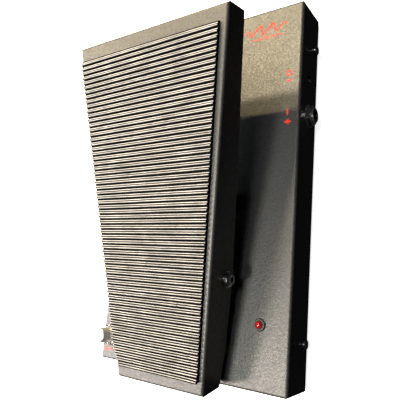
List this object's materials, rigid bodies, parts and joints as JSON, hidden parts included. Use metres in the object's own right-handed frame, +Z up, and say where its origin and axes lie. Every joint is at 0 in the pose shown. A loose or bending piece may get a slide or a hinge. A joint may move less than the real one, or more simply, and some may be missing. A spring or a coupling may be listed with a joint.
{
  "type": "rocker pedal",
  "caption": "Rocker foot pedal for an electric instrument: flat black steel base with jacks, footswitch and status light, and a sprung tapered treadle with a ribbed rubber mat.",
  "frame": {"origin": "middle of the whole pedal's footprint, on the floor under the feet", "axes": "+X to the player's right (input jack side), +Y from the heel to the toe, +Z up"},
  "size_m": [0.1598, 0.2529, 0.0995],
  "materials": {
    "powder_coat": "fine textured powder coat, satin",
    "rubber_black": "matt",
    "mat_rubber": "ribbed, satin from wear",
    "zinc_steel": "bright zinc",
    "screw_steel": "black oxide, polished by handling",
    "spring_steel": "drawn wire",
    "brass_plated": "nickel-plated brass",
    "nylon_white": "natural nylon",
    "moulded_black": "moulded, matt",
    "jack_black": "moulded, semi-gloss",
    "knob_black": "moulded, semi-gloss, white pointer",
    "chrome_trim": "polished",
    "board_green": "solder mask",
    "capacitor_sleeve": "heat-shrink sleeve",
    "lamp_clear": "clear epoxy",
    "photocell_face": "serpentine sensor face",
    "led_red": "diffused red epoxy",
    "battery_wrap": "printed steel wrap",
    "wire_red": "PVC insulation",
    "shutter_black": "dead black"
  },
  "bodies": {
    "base": {"chassis_shell": "powder_coat", "bottom_plate": "powder_coat", "pivot_brackets": "powder_coat", "rubber_feet": "rubber_black", "heel_bumpers": "rubber_black", "toe_bumper": "rubber_black", "foot_screws": "zinc_steel", "chassis_screws": "screw_steel", "bracket_screws": "zinc_steel", "bracket_nuts": "zinc_steel", "return_spring": "spring_steel", "board_standoffs": "brass_plated", "board_screws": "zinc_steel", "pivot_bushes": "nylon_white", "spring_seat": "moulded_black", "sensor_holders": "moulded_black", "circuit_board": "board_green", "board_chips": "moulded_black", "board_capacitors": "capacitor_sleeve", "sensor_lamp": "lamp_clear", "photocell": "photocell_face", "input_jack": "jack_black", "output_jack": "jack_black", "jack_washers": "chrome_trim", "jack_nuts": "chrome_trim", "power_jack": "jack_black", "power_jack_pin": "chrome_trim", "footswitch_body": "jack_black", "footswitch_washer": "chrome_trim", "footswitch_nut": "chrome_trim", "level_pot": "zinc_steel", "contour_pot": "zinc_steel", "pot_washers": "zinc_steel", "pot_nuts": "zinc_steel", "status_led": "led_red", "led_bezel": "moulded_black", "battery": "battery_wrap", "battery_clip": "spring_steel", "battery_snap": "moulded_black", "hookup_wires": "wire_red"},
    "treadle": {"treadle_shell": "powder_coat", "treadle_mat": "mat_rubber", "pivot_bolts": "screw_steel", "pivot_washers": "screw_steel", "pivot_nuts": "zinc_steel", "shutter_vane": "shutter_black", "vane_rivets": "zinc_steel", "spring_cap": "moulded_black"},
    "switch_button": {"footswitch_button": "chrome_trim"},
    "level_control": {"level_shaft": "zinc_steel", "level_knob": "knob_black"},
    "contour_control": {"contour_shaft": "zinc_steel", "contour_knob": "knob_black"}
  },
  "joints": [
    {"name": "treadle_rock", "type": "hinge", "parent": "base", "child": "treadle", "pos_m": [0, -0.05905, 0.0497], "axis": [-1, 0, 0], "range_deg": [0, 17.5], "stiffness_Nm_per_rad": 1.2, "springref_deg": -20.05, "deforming": ["return_spring"]},
    {"name": "footswitch_press", "type": "slide", "parent": "base", "child": "switch_button", "axis": [0, 0, -1], "range_m": [0, 0.0025], "stiffness_N_per_m": 900, "springref_m": -0.001},
    {"name": "level_turn", "type": "hinge", "parent": "base", "child": "level_control", "pos_m": [-0.0625, 0.02985, 0.035], "axis": [0, 0, -1], "range_deg": [-150, 150]},
    {"name": "contour_turn", "type": "hinge", "parent": "base", "child": "contour_control", "pos_m": [-0.0625, -0.00315, 0.035], "axis": [0, 0, -1], "range_deg": [-150, 150]}
  ]
}
